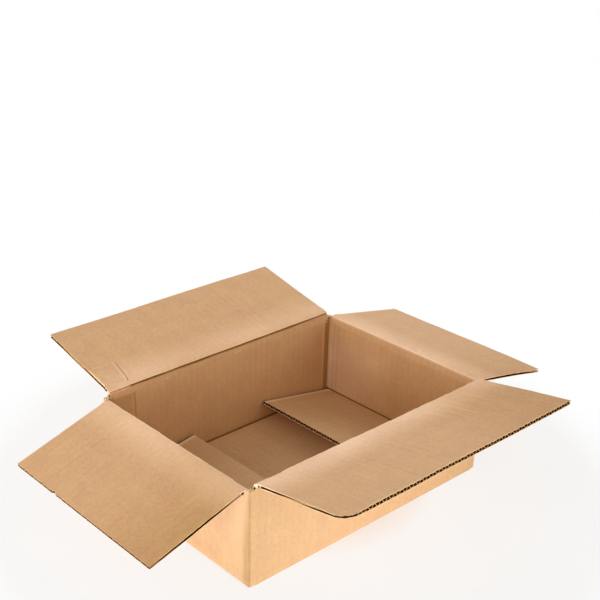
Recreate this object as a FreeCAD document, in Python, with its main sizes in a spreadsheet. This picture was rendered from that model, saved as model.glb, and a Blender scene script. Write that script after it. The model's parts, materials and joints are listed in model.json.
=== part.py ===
"""Regular slotted shipping carton in single-wall corrugated board, flaps open.

The carton is one creased and slotted sheet, glued into a sleeve by a tab in its back left
corner. It stands on its two long bottom flaps, which are closed. The pieces that turn on a
crease are bodies of their own: four top flaps and the two short bottom flaps inside.

Millimetres and degrees. The origin is on the ground under the middle of the carton,
+X runs along its length, +Y towards the back and +Z up.
"""

import FreeCAD, Part
import math
import os
import re
import Sketcher

SIZES = {
    # the carton, over its outside faces
    "box_length": 305,
    "box_width": 215,
    "box_height": 100,
    "corner_radius": 3,
    "fold_radius": 1.5,
    # corrugated board: two liners and the fluted medium between them
    "board": 4,
    "liner": 0.4,
    "medium": 0.4,
    "flute_pitch": 7.9,
    "crushed_band": 8,
    # flaps and the slots between them
    "meeting_gap": 7,
    "long_flap_inset": 6.5,
    "side_gap": 1.2,
    "closing_gap": 0.8,
    "slot_setback": 2,
    "crushed_corner": 15,
    # creases: the hinge line stands just off the outside faces
    "hinge_offset": 0.2,
    "mitre_gap": 0.1,
    "floor_gap": 0.3,
    # glue tab inside the back wall, and its end that runs up the back flap
    "tab_width": 32,
    "tab_board": 2.5,
    "tab_end_board": 0.4,
    "tab_end_length": 35,
    "tab_end_inset": 2,
    "tab_end_flare": 5,
    # how far each flap stands open: from upright, and from flat for the bottom ones
    "front_open": 79.5,
    "back_open": 77.5,
    "left_open": 107,
    "right_open": 102,
    "left_lift": 8.5,
    "right_lift": 10.5,
}

# Sizes that follow from the ones above, as expressions over the sheet.
OVERCUT = "1"
HALF_LENGTH = "box_length / 2"
HALF_WIDTH = "box_width / 2"
CREASE_DROP = "(board + closing_gap)"
FLAP_REACH = "(box_width / 2 + hinge_offset - meeting_gap / 2)"
BOTTOM_REACH = "(box_width / 2 - meeting_gap / 2 - board - floor_gap)"
LONG_FLAP_END = "(box_length / 2 - long_flap_inset)"
SHORT_FLAP_END = "(box_width / 2 - board - side_gap)"
FLOOR_FLUTE_END = "(box_width / 2 - board - crushed_band)"
TAB_FLAP_END = "(box_width / 2 - board - tab_board - side_gap)"

doc = FreeCAD.newDocument("carton")


def make_sheet():
    sheet = doc.addObject("Spreadsheet::Sheet", "sizes")
    for row, (name, value) in enumerate(SIZES.items(), 1):
        sheet.set(f"A{row}", name)
        sheet.set(f"B{row}", str(value))
        sheet.setAlias(f"B{row}", name)
    doc.recompute()


def bound(text):
    """An expression over the sizes, as the document spells it."""
    names = "|".join(SIZES)
    return re.sub(rf"\b({names})\b", r"sizes.\1", text)


def outline(body, role, name, points, level="0"):
    """A closed outline on one of the body's own planes, every corner set by the sheet."""
    sketch = body.newObject("Sketcher::SketchObject", name)
    plane = next(item for item in body.Origin.OriginFeatures if item.Role == role)
    sketch.AttachmentSupport = [(plane, "")]
    sketch.MapMode = "FlatFace"
    sketch.setExpression("AttachmentOffset.Base.z", bound(level))
    count = len(points)
    start_radius = 10.0
    ring = []
    for index in range(count):
        turn = 2 * math.pi * index / count
        ring.append(FreeCAD.Vector(math.cos(turn), math.sin(turn), 0) * start_radius)
    for index in range(count):
        sketch.addGeometry(Part.LineSegment(ring[index], ring[(index + 1) % count]))
    for index in range(count):
        following = (index + 1) % count
        sketch.addConstraint(Sketcher.Constraint("Coincident", index, 2, following, 1))
    for index, corner in enumerate(points):
        for kind, place in zip(("DistanceX", "DistanceY"), corner):
            lock = Sketcher.Constraint(kind, -1, 1, index, 1, start_radius)
            number = sketch.addConstraint(lock)
            sketch.setExpression(f"Constraints[{number}]", bound(place))
    return sketch


def rectangle(x_low, x_high, y_low, y_high):
    return [(x_low, y_low), (x_high, y_low), (x_high, y_high), (x_low, y_high)]


def pad(body, name, sketch, length):
    feature = body.newObject("PartDesign::Pad", name)
    feature.Profile = sketch
    feature.setExpression("Length", bound(length))
    return feature


def pocket(body, name, sketch, length):
    """Cuts away from the side that the sketch faces, and must take something off."""
    doc.recompute()
    before = body.Tip.Shape.Volume
    feature = body.newObject("PartDesign::Pocket", name)
    feature.Profile = sketch
    feature.setExpression("Length", bound(length))
    doc.recompute()
    if feature.Shape.Volume >= before:
        raise ValueError(f"{body.Label}: {name} cuts nothing")
    return feature


def cut_block(body, name, x_low, x_high, y_low, y_high, bottom, top):
    """A rectangular cut between two levels."""
    corners = rectangle(x_low, x_high, y_low, y_high)
    sketch = outline(body, "XY_Plane", f"{name}_outline", corners, top)
    return pocket(body, name, sketch, f"({top}) - ({bottom})")


def edges_where(feature, test):
    edges = enumerate(feature.Shape.Edges, 1)
    return [f"Edge{number}" for number, edge in edges if test(edge)]


def round_edges(body, name, base, test, radius):
    doc.recompute()
    feature = body.newObject("PartDesign::Fillet", name)
    feature.Base = (base, edges_where(base, test))
    feature.setExpression("Radius", bound(radius))
    doc.recompute()
    return feature


def value(text):
    """What an expression over the sizes comes to now, for finding an edge by its place."""
    probe = doc.getObject("probe") or doc.addObject("App::FeaturePython", "probe")
    if not hasattr(probe, "Number"):
        probe.addProperty("App::PropertyFloat", "Number")
    probe.setExpression("Number", bound(text))
    doc.recompute()
    return probe.Number


def hinge_placement(piece, place, yaw, tilt):
    """Puts a flap's own crease line on its hinge, then turns it to where it stands."""
    base = "; ".join(place)
    turn = f"rotation(vector(0; 0; 1); {yaw}) * rotation(vector(1; 0; 0); {tilt})"
    piece.setExpression("Placement", bound(f"placement(vector({base}); {turn})"))


def make_box_body():
    """Four walls, the glue tab and the closed long bottom flaps: what never moves."""
    body = doc.addObject("PartDesign::Body", "box_body")
    corners = rectangle(
        f"-{HALF_LENGTH}", HALF_LENGTH, f"-{HALF_WIDTH}", HALF_WIDTH
    )
    block = pad(body, "sleeve", outline(body, "XY_Plane", "footprint", corners), "box_height")
    doc.recompute()
    height = value("box_height")
    round_edges(
        body,
        "corner_folds",
        block,
        lambda edge: abs(edge.BoundBox.ZLength - height) < 1e-6,
        "corner_radius",
    )
    cut_block(
        body,
        "inside",
        f"-({HALF_LENGTH} - board)",
        f"{HALF_LENGTH} - board",
        f"-({HALF_WIDTH} - board)",
        f"{HALF_WIDTH} - board",
        "board",
        "box_height",
    )
    round_bottom_folds(body)
    cut_block(
        body,
        "bottom_seam",
        f"-{LONG_FLAP_END}",
        LONG_FLAP_END,
        "-meeting_gap / 2",
        "meeting_gap / 2",
        "0",
        "board",
    )
    for side, sign in (("left", "-"), ("right", "")):
        rear_end = TAB_FLAP_END if side == "left" else SHORT_FLAP_END
        inner = f"{sign}({HALF_LENGTH} - board)"
        outer = f"{sign}({HALF_LENGTH} + {OVERCUT})"
        slot = f"{sign}{LONG_FLAP_END}"
        full_low = f"-({HALF_WIDTH} + {OVERCUT})"
        full_high = f"{HALF_WIDTH} + {OVERCUT}"
        inside_low = f"-({HALF_WIDTH} - board)"
        inside_high = f"{HALF_WIDTH} - board"
        cut_block(
            body, f"{side}_floor_end", slot, inner, inside_low, inside_high, "0", "board"
        )
        cut_block(
            body, f"{side}_slots_low", slot, outer, full_low, full_high, "0", "slot_setback"
        )
        cut_block(
            body,
            f"{side}_wall_foot",
            inner,
            outer,
            f"-{SHORT_FLAP_END}",
            rear_end,
            "0",
            CREASE_DROP,
        )
        cut_block(
            body,
            f"{side}_slots_high",
            slot,
            outer,
            full_low,
            full_high,
            "box_height - slot_setback",
            "box_height",
        )
        make_short_crease(body, side, sign, rear_end)
    long_low = f"-{LONG_FLAP_END}"
    cut_flutes(
        body, "XZ_Plane", long_low, LONG_FLAP_END, "0", FLOOR_FLUTE_END, f"2 * {FLOOR_FLUTE_END}"
    )
    make_long_creases(body)
    make_glue_tab(body)
    return body


def round_bottom_folds(body):
    """The folds between the long walls and the closed flaps under them."""
    length = value("box_length")
    radius = value("corner_radius")
    side = value(HALF_WIDTH)

    def at_fold(edge):
        box = edge.BoundBox
        along = box.XLength > length - 3 * radius
        return along and abs(box.ZMax) < 1e-6 and abs(abs(box.YMin) - side) < 1e-6

    round_edges(body, "bottom_folds", body.Tip, at_fold, "fold_radius")


def make_short_crease(body, side, sign, rear_end):
    """A short wall's top edge: lower than the long ones, and mitred towards the inside."""
    crest = f"(box_height - {CREASE_DROP} - mitre_gap)"
    outer = f"{sign}({HALF_LENGTH} + {OVERCUT})"
    face = f"{sign}{HALF_LENGTH}"
    inner = f"{sign}({HALF_LENGTH} - board)"
    above = f"box_height + {OVERCUT}"
    corners = [
        (outer, crest),
        (face, crest),
        (inner, f"{crest} - board"),
        (inner, above),
        (outer, above),
    ]
    sketch = outline(body, "XZ_Plane", f"{side}_mitre_outline", corners, SHORT_FLAP_END)
    pocket(body, f"{side}_mitre", sketch, f"{SHORT_FLAP_END} + {rear_end}")


def make_long_creases(body):
    """The long walls' top edges, mitred so that a flap can close and lie flat."""
    crest = "(box_height - mitre_gap)"
    above = f"box_height + {OVERCUT}"
    for side, sign in (("front", "-"), ("back", "")):
        face = f"{sign}{HALF_WIDTH}"
        inner = f"{sign}({HALF_WIDTH} - board)"
        corners = [
            (face, crest),
            (inner, f"{crest} - board"),
            (inner, above),
            (face, above),
        ]
        sketch = outline(body, "YZ_Plane", f"{side}_mitre_outline", corners, LONG_FLAP_END)
        pocket(body, f"{side}_mitre", sketch, f"2 * {LONG_FLAP_END}")


def make_glue_tab(body):
    corners = rectangle(
        f"-({HALF_LENGTH} - board)",
        f"tab_width - {HALF_LENGTH}",
        f"{HALF_WIDTH} - board - tab_board",
        f"{HALF_WIDTH} - board",
    )
    sketch = outline(body, "XY_Plane", "glue_tab_outline", corners, CREASE_DROP)
    pad(body, "glue_tab", sketch, f"box_height - 2 * {CREASE_DROP}")


def make_flap_board(name, x_low, x_high, root, foot, tip):
    """A flat flap on its own crease: X along the crease, +Y inside and +Z to the free edge.

    foot is where the board starts from the crease, at its outside and inside faces.
    """
    body = doc.addObject("PartDesign::Body", name)
    corners = [
        (root, foot[0]),
        (root, tip),
        (f"{root} + board", tip),
        (f"{root} + board", foot[1]),
    ]
    sketch = outline(body, "YZ_Plane", "board_profile", corners, x_low)
    board = pad(body, "board_sheet", sketch, f"({x_high}) - ({x_low})")
    doc.recompute()
    return body, board


def cut_flutes(body, role, x_low, x_high, face, level, length):
    """Open channels between the medium and the liners, across a board on one plane.

    The board's outside face is at face. The channels run away from the crease, so both
    side edges cut along a channel.
    """
    span = f"(({x_high}) - ({x_low}))"
    pitch = f"({span} / round({span} / flute_pitch))"
    wide = f"0.4 * {pitch}"
    narrow = f"0.1 * {pitch}"
    inside = (f"{face} + board - liner", f"{face} + liner + medium")
    outside = (f"{face} + liner", f"{face} + board - liner - medium")
    rows = (("inner", inside, f"({x_low})"), ("outer", outside, f"({x_low} + {pitch} / 2)"))
    for label, (liner_side, medium_side), middle in rows:
        corners = [
            (f"{middle} - {wide}", liner_side),
            (f"{middle} - {narrow}", medium_side),
            (f"{middle} + {narrow}", medium_side),
            (f"{middle} + {wide}", liner_side),
        ]
        sketch = outline(body, role, f"{label}_channel_outline", corners, level)
        channel = pocket(body, f"{label}_channel", sketch, length)
        row = body.newObject("PartDesign::LinearPattern", f"{label}_channels")
        row.Originals = [channel]
        row.Direction = (sketch, ["H_Axis"])
        extra = "0" if label == "inner" else "1"
        row.setExpression("Length", bound(f"{span} - {extra} * {pitch}"))
        row.setExpression("Occurrences", bound(f"round({span} / flute_pitch) + 1 - {extra}"))
        body.Tip = row
        doc.recompute()


def make_top_flap(name, x_low, x_high):
    root = "hinge_offset"
    foot = ("hinge_offset + mitre_gap", "hinge_offset + mitre_gap + board")
    body, board = make_flap_board(name, x_low, x_high, root, foot, FLAP_REACH)
    if name == "front_long_flap":
        crush_corner(body, board, x_low)
    depth = f"{FLAP_REACH} - crushed_band"
    cut_flutes(body, "XY_Plane", x_low, x_high, root, FLAP_REACH, depth)
    return body


def crush_corner(body, board, x_low):
    """The knocked corner of the front flap, worn round."""
    side = value(x_low)
    tip = value(FLAP_REACH)

    def at_corner(edge):
        box = edge.BoundBox
        across_board = box.YLength > 10 * max(box.XLength, box.ZLength)
        return across_board and abs(box.XMin - side) < 1e-6 and abs(box.ZMin - tip) < 1e-6

    round_edges(body, "crushed_corner_round", board, at_corner, "crushed_corner")


def add_tab_end(body):
    """The end of the glue tab, pressed flat on the inside of the back flap."""
    right = f"({LONG_FLAP_END} - tab_end_inset)"
    left = f"({HALF_LENGTH} - tab_width)"
    low = "(hinge_offset + mitre_gap + board + tab_end_board)"
    high = f"{low} + tab_end_length - board"
    corners = [(left, low), (right, low), (right, high), (f"{left} - tab_end_flare", high)]
    level = "-(hinge_offset + board + tab_end_board)"
    sketch = outline(body, "XZ_Plane", "tab_end_outline", corners, level)
    pad(body, "tab_end", sketch, "tab_end_board")


def make_bottom_flap(name, x_low, x_high):
    body, _ = make_flap_board(name, x_low, x_high, "0", ("0", "0"), BOTTOM_REACH)
    depth = f"{BOTTOM_REACH} - crushed_band"
    cut_flutes(body, "XY_Plane", x_low, x_high, "0", BOTTOM_REACH, depth)
    return body


def make_flaps():
    """Each flap's local X follows its crease, with the inside of the box on local +Y."""
    long_low = f"-{LONG_FLAP_END}"
    front = make_top_flap("front_long_flap", long_low, LONG_FLAP_END)
    back = make_top_flap("back_long_flap", long_low, LONG_FLAP_END)
    add_tab_end(back)
    short_low = f"-{SHORT_FLAP_END}"
    left = make_top_flap("left_short_flap", f"-{TAB_FLAP_END}", SHORT_FLAP_END)
    right = make_top_flap("right_short_flap", short_low, SHORT_FLAP_END)
    left_bottom = make_bottom_flap("left_bottom_flap", f"-{TAB_FLAP_END}", SHORT_FLAP_END)
    right_bottom = make_bottom_flap("right_bottom_flap", short_low, SHORT_FLAP_END)

    long_line = f"{HALF_WIDTH} + hinge_offset"
    long_level = "box_height + hinge_offset"
    short_line = f"{HALF_LENGTH} + hinge_offset"
    short_level = f"box_height - {CREASE_DROP} + hinge_offset"
    floor_line = f"{HALF_LENGTH} - board - floor_gap"
    floor_level = "2 * board + floor_gap"
    hinge_placement(front, ("0", f"-({long_line})", long_level), "0", "front_open")
    hinge_placement(back, ("0", long_line, long_level), "180", "back_open")
    hinge_placement(left, (f"-({short_line})", "0", short_level), "-90", "left_open")
    hinge_placement(right, (short_line, "0", short_level), "90", "right_open")
    hinge_placement(
        left_bottom, (f"-({floor_line})", "0", floor_level), "-90", "left_lift - 90"
    )
    hinge_placement(
        right_bottom, (floor_line, "0", floor_level), "90", "right_lift - 90"
    )
    return [front, back, left, right, left_bottom, right_bottom]


def write_parts(pieces):
    doc.recompute()
    for item in doc.Objects:
        if "Invalid" in item.State or "Error" in item.State:
            raise ValueError(f"{item.Label} is {item.State}")
    os.makedirs("parts", exist_ok=True)
    for piece in pieces:
        if piece.Shape.isNull() or not piece.Shape.isValid():
            raise ValueError(f"{piece.Label} has no valid shape")
        piece.Shape.exportStep(os.path.join("parts", f"{piece.Label}.step"))


make_sheet()
write_parts([make_box_body()] + make_flaps())
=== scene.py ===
"""Plain slotted shipping carton in single-wall corrugated board, standing with its flaps open.

Every panel is built flat as real board is, two liners with a fluted sheet between them, in
its own frame: X along its crease, +Y towards the inside of the carton and +Z to its free
edge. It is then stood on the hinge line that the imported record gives. Metres throughout.
"""

import json
import math

import bmesh
import bpy
from mathutils import Matrix, Vector, noise


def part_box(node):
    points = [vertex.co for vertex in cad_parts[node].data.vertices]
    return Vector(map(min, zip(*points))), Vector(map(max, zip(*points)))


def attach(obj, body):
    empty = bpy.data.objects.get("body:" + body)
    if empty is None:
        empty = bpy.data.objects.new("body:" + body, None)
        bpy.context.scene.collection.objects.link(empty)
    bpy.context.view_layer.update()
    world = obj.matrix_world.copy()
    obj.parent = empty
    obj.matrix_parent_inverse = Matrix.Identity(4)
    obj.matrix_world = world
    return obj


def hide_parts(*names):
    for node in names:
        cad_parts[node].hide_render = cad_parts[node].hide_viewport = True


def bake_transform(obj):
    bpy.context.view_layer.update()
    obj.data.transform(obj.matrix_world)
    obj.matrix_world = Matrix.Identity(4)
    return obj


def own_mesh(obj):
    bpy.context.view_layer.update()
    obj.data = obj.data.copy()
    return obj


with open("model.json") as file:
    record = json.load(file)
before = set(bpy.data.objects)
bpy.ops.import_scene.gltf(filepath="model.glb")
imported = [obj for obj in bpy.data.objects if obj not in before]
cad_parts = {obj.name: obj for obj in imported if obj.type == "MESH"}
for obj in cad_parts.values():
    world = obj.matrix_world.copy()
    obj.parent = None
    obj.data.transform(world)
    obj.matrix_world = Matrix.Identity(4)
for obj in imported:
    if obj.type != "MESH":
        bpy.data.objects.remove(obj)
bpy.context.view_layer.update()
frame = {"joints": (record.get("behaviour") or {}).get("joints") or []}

MM = 0.001
TOUCH = 0.001 * MM  # places nearer than this are one place
SLACK = 0.1 * MM  # for telling which of two cuts a place lies on
BODY_LOW, BODY_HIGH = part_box("box_body")
HALF_LENGTH = (BODY_HIGH.x - BODY_LOW.x) / 2
HALF_WIDTH = (BODY_HIGH.y - BODY_LOW.y) / 2
HEIGHT = BODY_HIGH.z
JOINTS = {joint["child"]: joint for joint in frame["joints"]}

# The board: two liners and a fluted medium. Real paper is about 0.2 mm thick, too fine to
# show on a cut edge, so the liners and the medium are drawn thicker than that.
BOARD = 4.0 * MM
LINER = 0.5 * MM
MEDIUM = 0.75 * MM
FLUTE_PITCH = 7.9 * MM
FLUTE_STEEPNESS = 1.5  # a sine cut off at 1, because glued flutes have flat tips
FLUTE_TIP = 0.3 * MM  # how far a tip is sunk in its liner
FLUTE_SLANT = -0.038  # the sheet is never cut quite square to its flutes
GHOST = 0.015 * MM  # how far the flutes show through the liners
COLUMNS = 10  # faces across one flute
ROWS = {"outer": 14, "inner": 28, "fluting": 8}  # faces from the crease to the free edge

# Flaps and slots. The hinge lines lie just off the outside faces.
HINGE_OFFSET = 0.2 * MM
INSIDE = HINGE_OFFSET + BOARD
CREASE_DROP = 4.8 * MM  # the short flaps' creases lie this much below the long ones
MEETING_GAP = 7.0 * MM
FLAP_REACH = HALF_WIDTH + HINGE_OFFSET - MEETING_GAP / 2
FLOOR_GAP = 0.3 * MM
BOTTOM_REACH = HALF_WIDTH - MEETING_GAP / 2 - BOARD - FLOOR_GAP
LONG_INSET, SHORT_INSET = 6.5 * MM, 1.2 * MM
LONG_END = HALF_LENGTH - LONG_INSET
SHORT_END = HALF_WIDTH - BOARD - SHORT_INSET
SLOT_SETBACK = 2.0 * MM
FOOT_SETBACK = 0.8 * MM
HAIR = 0.05 * MM  # between two cuts that look like one

# The glue tab, and its end on the back flap with a thin dark strip beside that end: painted
# shadow.
TAB_BOARD = 2.5 * MM
TAB_SIDE_END = SHORT_END - TAB_BOARD
TAB_WIDTH = 32.0 * MM
TAB_TOP = 5.6 * MM
TAB_TAPER = 12 * MM
TAB_EDGE_RADIUS = 1.0 * MM
# Where the painted shadow line beside the glue tab lies on the back wall.
TAB_LINE = (TAB_WIDTH + 3.2 * MM, TAB_WIDTH + 4.4 * MM)
TAB_END_HIGH = 35 * MM
TAB_END_INSET = 0.5 * MM
TAB_END_FLARE = 5 * MM
TAB_END_GROWTH = 4.7 * MM
TAB_END_BOARD = 0.7 * MM
TAB_SHADOW_DEEP, TAB_SHADOW_WIDE = 0.06 * MM, 1.0 * MM
TAB_END_BURIED = 0.2 * MM
TAB_RIM = 1.2 * MM
# The tab on the wall: a little darker, a painted highlight along its edge, painted shade where it
# thins under the crease.
TAB_TONE, TAB_EDGE_HIGHLIGHT, THIN_TAB_TONE = -0.06, 0.16, -0.12
# Its end on the flap: a little darker, a painted highlight round its rim, and the strip of
# painted shadow beside it.
TAB_END_TONE, TAB_RIM_HIGHLIGHT, TAB_SHADOW_TONE = -0.03, 0.3, -0.5

# Creases: where the board is mitred and crushed. Distances are from the hinge line.
MITRE_DEPTH = 4.3 * MM  # where the inside liner of a flap or a wall ends
MITRE_ROOT = 0.8 * MM  # where the outside liner of a flap ends
MITRE_TOP = 0.15 * MM
CRUSH_LEVELS = (9.0 * MM, 7.5 * MM, 6.2 * MM, 5.0 * MM)
CRUSH_CURVE = 1.7
CRUSHED_BAND = CRUSH_LEVELS[0]
WIDE_CREASES = ("back_flap",)
NARROW_BAND = 5.6 * MM
FLOOR_LEVELS = (2.4 * MM, 1.6 * MM, 0.8 * MM)
FLOOR_GROOVE = 2.0 * MM

# The inside liner over a crease has a shoulder on each side and a groove between them.
RIDGE_RADIUS = 3.4 * MM
RIDGE_HALF_ANGLE = math.radians(10)
GROOVE_RADIUS = {"back_flap": 1.6 * MM}
SHALLOW_GROOVE = 3.35 * MM
RIM_WIDTH = 1.3 * MM
END_FADE = 40 * MM
CREASE_CUTS = 90
CREASE_WOBBLE = 0.55 * MM
HEART = 0.4 * MM  # where the two halves of a crease meet inside the board
FOLD_LINE_RADIUS, FOLD_LINE_SIDES = 0.5 * MM, 12

# A squashed flute's opening in a crease's cut end, a thin dark patch of painted shade, as
# (inward, up) corners in mm on its wall or flap.
WALL_MARK = ((0.5, -2.9), (3.2, -2.9), (3.0, -0.2), (0.9, -0.1))
FLAP_MARK = ((0.6, -4.6), (3.0, -4.4), (2.9, -2.3), (1.0, -2.0))
MARK_DEEP = 0.06 * MM

# Grooves beside the inside of a corner, as distances from its outside and their depths.
CORNER_RADIUS = 2.0 * MM
CORNER_GROOVE = 2.0 * MM
GROOVE_HALF = 0.5 * MM
LONG_GROOVES = ((4.7 * MM, 0.6 * MM), (9.8 * MM, 0.6 * MM), (14.0 * MM, 0.4 * MM))
SHORT_GROOVES = ((4.7 * MM, 0.6 * MM), (12.0 * MM, 0.4 * MM), (17.8 * MM, 0.3 * MM))
PRESSED_BAND = 9.4 * MM
OUTER_FOLD_SHADE = 12.0 * MM
FLOOR_LINE = (BOARD, BOARD + 1.5 * MM)
SHORT_FOOT_LINE = (2 * BOARD + 1.2 * MM, 2 * BOARD + 2.4 * MM)
LONG_WALL_CUTS = (-0.75, -0.2, 0.35)  # more edges for the walls' shades, as shares of a half
SHORT_WALL_CUTS = (-0.5, 0.0, 0.5)

# Cut edges. The knife pinches a flap's sides, and leaves every edge a little rough.
PINCH = 0.24
PINCH_WIDTH = 3.0 * MM
PINCH_ONSET = 8 * MM
SIDE_ROUGHNESS, FREE_ROUGHNESS = 1.2 * MM, 4 * MM
CUT_WOBBLE = 0.45 * MM
FREE_SHARE = 0.6
FRAY_WIDTH, FRAY_DEPTH = 2.5 * MM, 0.7 * MM
# The rear end of a bottom flap: a painted shadow of the gap behind it, then a lighter torn edge.
REAR_SHADOW_WIDTH, REAR_SHADOW_TONE = 2.2 * MM, -0.7
FRAYED_RIM, FRAYED_RIM_TONE = 6.0 * MM, 0.4

# Knocks: the front flap's blunted corner, and the nick in the left flap's free edge.
BLUNT_RADIUS = 15 * MM
BLUNT_STEPS = 7
BLUNT_PRESS, BLUNT_THINNING = 30 * MM, 0.5
NICK_AT, NICK_WIDTH, NICK_DEPTH, NICK_HIGH = -39 * MM, 4 * MM, 1.2 * MM, 5 * MM
WARP = 1.1 * MM

# Buckles in the inside liner, along the flutes: place along the crease, start and end in mm.
WRINKLES = {
    "front_flap": ((52, 8, 50), (63, 5, 70), (75, 12, 60), (84, 6, 45), (96, 15, 65),
                   (108, 8, 40), (-20, 30, 70)),
    "back_flap": ((-69, 60, 99), (-78, 30, 62), (-103, 29, 86), (-111, 27, 62)),
    "right_flap": ((20, 20, 70),),
}
WRINKLE_HEIGHT = 0.4 * MM
WRINKLE_HALF_WIDTH = 1.8 * MM
WRINKLE_BOW = 3

# Each flap's tone, the end of its X towards which painted shade falls and by how much, and how
# much lighter it is beside its crease, for burnish and a painted sheen. Here and below a shade is
# a share of the paper's own tone.
TONES = {
    "front_flap": (0.03, 1, 0.17, 0.36),
    "back_flap": (0.0, 1, 0.0, 0.22),
    "left_flap": (0.0, 1, 0.19, 0.25),
    "right_flap": (0.06, -1, 0.14, 0.22),
}
SHEEN_AND_BURNISH_WIDTH = 45 * MM
# A painted highlight on each buckle's crest and painted shade on one of its flanks.
WRINKLE_LIGHT, WRINKLE_DARK = 0.12, 0.3

# The set. A lamp is its name, place, disc in metres and power in watts.
CAMERA_LENS = 66.7
CAMERA_SHIFT = (0.1, 0.0667)
CAMERA_ANGLES = (-40.708, 25.41, 0.259)
CAMERA_TARGET = (0.0983, 0.1979, 0.05)
CAMERA_DISTANCE = 1.2953
LAMP_TARGET = (0, 0, 0.05)
LAMPS = (
    ("back_left", (-0.5, 0.75, 0.6), 0.5, 1.2),
    ("back_right", (0.9, 1.0, 1.0), 0.8, 3.5),
    ("low_corner", (-0.9, -0.95, 0.12), 0.5, 3.0),
    ("low_front", (-0.1, -1.3, 0.12), 0.5, 2.0),
    ("low_left", (-1.3, -0.2, 0.12), 0.5, 4.85),
)
WORLD_FILL = 0.2
RING_FILL = 1.5
RING_RISE, RING_FADE = (0.05, 0.35), (0.5, 0.8)
WHITE = (1, 1, 1, 1)
FLOOR_RADIUS = 3
FLOOR_DROP = 0.05 * MM
NEAR_WHITE, FAR_WHITE = (0.08, 0.14), (0.15, 0.38)
NEAR_WHITE_SHARE = 0.72


# ---------------------------------------------------------------- modelling by hand


def only(obj):
    bpy.ops.object.select_all(action="DESELECT")
    obj.select_set(True)
    bpy.context.view_layer.objects.active = obj


def edit(obj):
    only(obj)
    bpy.ops.object.mode_set(mode="EDIT")


def done():
    bpy.ops.object.mode_set(mode="OBJECT")


def pick(kind, test):
    """Selects, in edit mode, the vertices, edges or faces that pass a test on their place."""
    bpy.ops.mesh.select_mode(type=kind)
    bpy.ops.mesh.select_all(action="DESELECT")
    mesh = bmesh.from_edit_mesh(bpy.context.edit_object.data)
    for part in {"VERT": mesh.verts, "EDGE": mesh.edges, "FACE": mesh.faces}[kind]:
        if test(part):
            part.select_set(True)
    mesh.select_flush_mode()
    bmesh.update_edit_mesh(bpy.context.edit_object.data)


def shift(x, y, z):
    bpy.ops.transform.translate(value=(x, y, z))


def push(test, x, y, z):
    """Moves the points whose place passes a test."""
    pick("VERT", lambda vertex: test(vertex.co))
    shift(x, y, z)


def along(edge, axis):
    """Whether an edge runs along one axis."""
    span = edge.verts[1].co - edge.verts[0].co
    return abs(span[axis]) > 0.999 * span.length


def split(point, normal, keep_all=True, faces=None):
    """Cuts the mesh, or the faces whose middle passes a test, by a plane.

    Without keep_all it takes off what lies beyond the plane.
    """
    if faces:
        pick("FACE", lambda face: faces(face.calc_center_median()))
    else:
        bpy.ops.mesh.select_mode(type="VERT")
        bpy.ops.mesh.select_all(action="SELECT")
    bpy.ops.mesh.bisect(
        plane_co=point, plane_no=normal, use_fill=not keep_all, clear_outer=not keep_all
    )


def finish_shell(obj, angle=35):
    """Outward normals, and smooth shading that keeps the cut edges crisp."""
    edit(obj)
    bpy.ops.mesh.select_all(action="SELECT")
    bpy.ops.mesh.normals_make_consistent(inside=False)
    done()
    only(obj)
    bpy.ops.object.shade_smooth_by_angle(angle=math.radians(angle))


def apply_modifier(obj, kind, **settings):
    only(obj)
    modifier = obj.modifiers.new(kind.lower(), kind)
    for name, value in settings.items():
        setattr(modifier, name, value)
    bpy.ops.object.modifier_apply(modifier=modifier.name)


def join(name, pieces):
    only(pieces[0])
    for piece in pieces:
        piece.select_set(True)
    bpy.ops.object.join()
    pieces[0].name = name
    pieces[0].data.name = name
    return pieces[0]


def prism(name, outline, x_low, x_high, cuts=0):
    """A bar along X whose end is an outline of (y, z) points."""
    bpy.ops.mesh.primitive_circle_add(vertices=len(outline), fill_type="NGON")
    obj = bpy.context.object
    obj.name = name
    for vertex, (y, z) in zip(obj.data.vertices, outline):
        vertex.co = (x_low, y, z)
    edit(obj)
    bpy.ops.mesh.select_all(action="SELECT")
    bpy.ops.mesh.extrude_region_move(TRANSFORM_OT_translate={"value": (x_high - x_low, 0, 0)})
    if cuts:
        pick("EDGE", lambda edge: along(edge, 0))
        bpy.ops.mesh.subdivide(number_cuts=cuts)
    done()
    return obj


def remember_sheet(obj, place=None, light_and_wear=None):
    """Keeps where each point lies on the flat sheet, and how much painted light, painted shade
    and wear lighten or darken it.
    """
    points = [vertex.co.copy() for vertex in obj.data.vertices]
    sheet = obj.data.attributes.new("sheet", "FLOAT_VECTOR", "POINT")
    for index, point in enumerate(points):
        sheet.data[index].vector = place(point) if place else point
    painted_light_and_wear = obj.data.attributes.new("painted_light_and_wear", "FLOAT", "POINT")
    for index, point in enumerate(points):
        painted_light_and_wear.data[index].value = light_and_wear(point) if light_and_wear else 0.0


def give_papers(obj, *names):
    obj.data.materials.clear()
    for name in names:
        obj.data.materials.append(PAPERS[name])


def paint(obj, paper, facing, cut="edge", level=0.5):
    """One paper on the faces that look along Y, or against it where facing is -1, the paper of
    its cut, and on its back the near-black fluting paper, painted shade down in the flutes."""
    give_papers(obj, paper, cut, "fluting")
    for face in obj.data.polygons:
        turned = face.normal.y * facing
        face.material_index = 0 if turned > level else 2 if turned < -level else 1


def uneven(x, y, z):
    """Chance unevenness about 0, the same each time for the same place.

    A place is given in metres, times how many bumps a metre has.
    """
    return noise.noise(Vector((x, y, z)))


def smooth_step(value):
    value = min(1.0, max(0.0, value))
    return value * value * (3 - 2 * value)


# ---------------------------------------------------------------- frames on the hinges


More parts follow.
